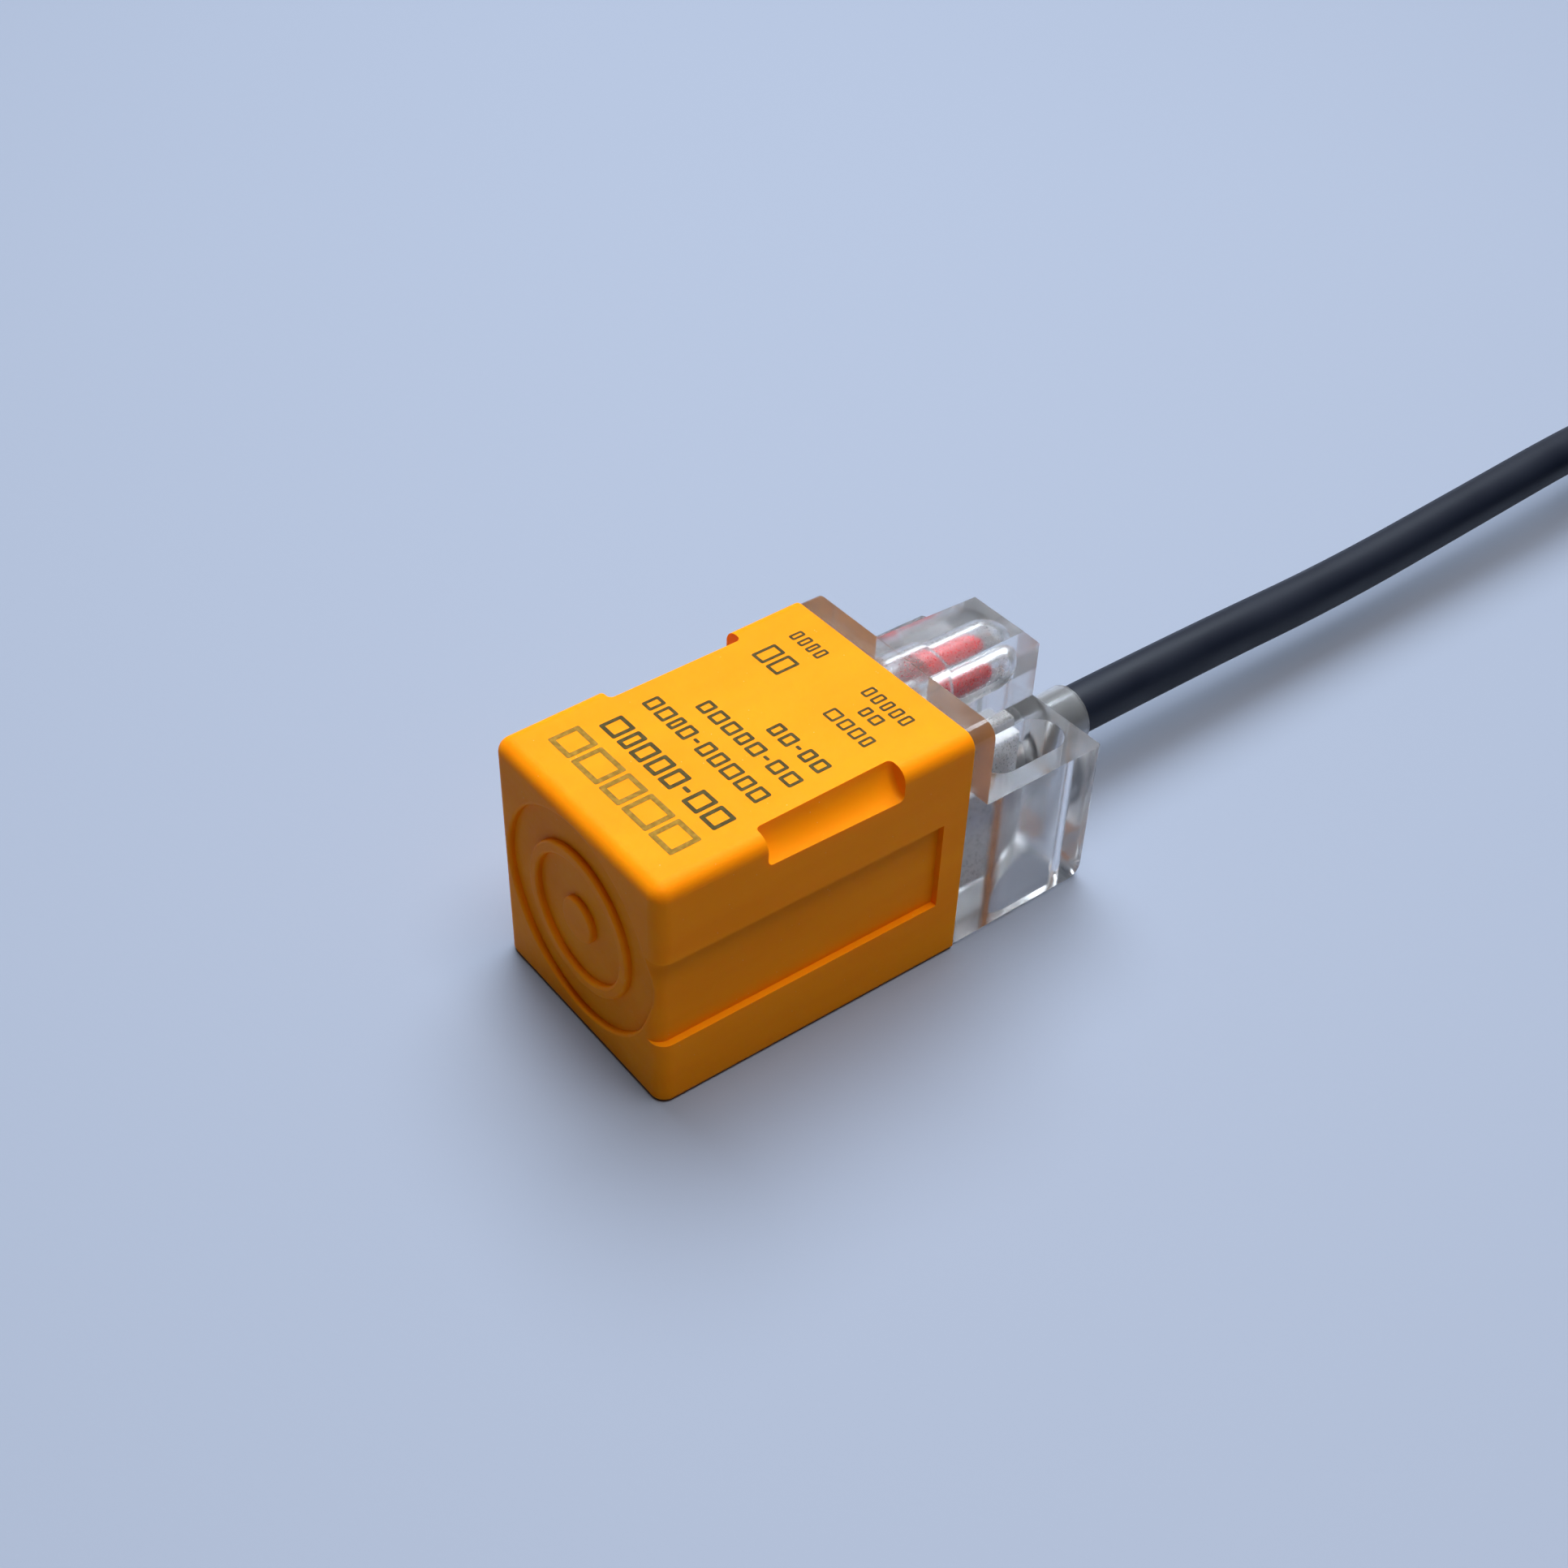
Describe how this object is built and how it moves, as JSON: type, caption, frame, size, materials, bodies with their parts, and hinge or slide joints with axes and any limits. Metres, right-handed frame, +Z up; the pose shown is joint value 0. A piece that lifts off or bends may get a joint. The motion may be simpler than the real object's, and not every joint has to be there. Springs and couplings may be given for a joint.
{
  "type": "proximity sensor",
  "caption": "Square inductive proximity sensor: amber cap over the sensing coil and board, clear rear cover with slotted ears and an indicator window, and a trailing cable.",
  "frame": {"origin": "under the middle of the sensor, on its mounting side, halfway between the sensing face and the end of the cable collar", "axes": "+Y along the body towards the cable, sensing face towards -Y, +X across the width, +Z up through the mounting slots"},
  "size_m": [0.0592, 0.1584, 0.0178],
  "materials": {
    "amber_cap": "satin moulded amber plastic",
    "clear_cover": "clear moulded plastic",
    "cable_jacket": "matt black sheath",
    "ferrite": "fine matt ceramic",
    "bobbin_nylon": "natural nylon",
    "copper_wire": "enamelled copper",
    "board_laminate": "green solder mask",
    "component_black": "moulded epoxy",
    "tinned_metal": "tinned metal",
    "resistor_ceramic": "glazed ceramic",
    "capacitor_ceramic": "ceramic",
    "tantalum_yellow": "moulded epoxy",
    "led_red": "diffused red epoxy",
    "solder": "bright solder",
    "crimp_steel": "plated steel",
    "wire_brown": "brown insulation",
    "wire_black": "black insulation",
    "wire_blue": "blue insulation",
    "tie_nylon": "natural nylon"
  },
  "bodies": {
    "root": {"cap_housing": "amber_cap", "rear_cover": "clear_cover", "ferrite_core": "ferrite", "coil_bobbin": "bobbin_nylon", "coil_winding": "copper_wire", "coil_leads": "copper_wire", "circuit_board": "board_laminate", "sensor_ic": "component_black", "ic_leads": "tinned_metal", "output_transistor": "component_black", "transistor_leads": "tinned_metal", "tantalum_capacitor": "tantalum_yellow", "polarity_diode": "component_black", "surge_diode": "component_black", "block_terminals": "tinned_metal", "chip_resistors": "resistor_ceramic", "chip_capacitors": "capacitor_ceramic", "chip_end_caps": "tinned_metal", "solder_joints": "solder", "indicator_led": "led_red", "led_leads": "tinned_metal", "cable_entry": "cable_jacket", "cable_crimp": "crimp_steel", "core_brown": "wire_brown", "core_black": "wire_black", "core_blue": "wire_blue", "cable_sheath": "cable_jacket", "cable_coil": "cable_jacket", "coil_ties": "tie_nylon", "cable_tail": "cable_jacket", "end_core_brown": "wire_brown", "end_core_black": "wire_black", "end_core_blue": "wire_blue", "core_tips": "tinned_metal"}
  },
  "joints": []
}
